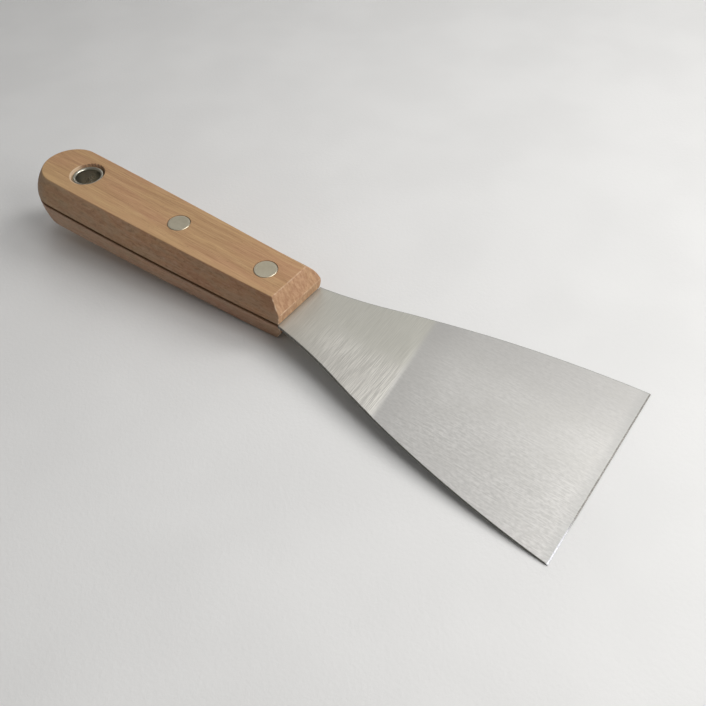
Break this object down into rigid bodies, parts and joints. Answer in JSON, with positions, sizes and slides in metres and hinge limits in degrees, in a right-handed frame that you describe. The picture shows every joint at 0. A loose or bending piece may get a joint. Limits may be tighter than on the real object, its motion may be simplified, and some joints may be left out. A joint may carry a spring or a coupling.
{
  "type": "flexible putty knife",
  "caption": "Flexible putty knife: flared steel blade ground thin towards its wide edge, full tang riveted between two beech scales, eyeleted hang hole in the butt.",
  "frame": {"origin": "centre of the hang hole, on the middle plane of the tang", "axes": "+X along the knife from the hang hole to the blade's edge, +Y across it, +Z square to the blade; XZ is the plane of symmetry"},
  "size_m": [0.2189, 0.0636, 0.0184],
  "materials": {
    "blade_steel": "brushed",
    "handle_wood": "satin",
    "rivet_nickel": "satin",
    "eyelet_nickel": "polished"
  },
  "bodies": {
    "knife": {"blade_and_tang": "blade_steel", "top_handle_scale": "handle_wood", "bottom_handle_scale": "handle_wood", "front_rivet_male": "rivet_nickel", "front_rivet_female": "rivet_nickel", "rear_rivet_male": "rivet_nickel", "rear_rivet_female": "rivet_nickel", "hang_hole_eyelet": "eyelet_nickel"},
    "blade_end": {"flexible_blade_end": "blade_steel"}
  },
  "joints": [
    {"name": "blade_flex", "type": "hinge", "parent": "knife", "child": "blade_end", "pos_m": [0.157, 0, 0], "axis": [0, 1, 0], "range_deg": [-30, 30], "stiffness_Nm_per_rad": 3.5}
  ]
}
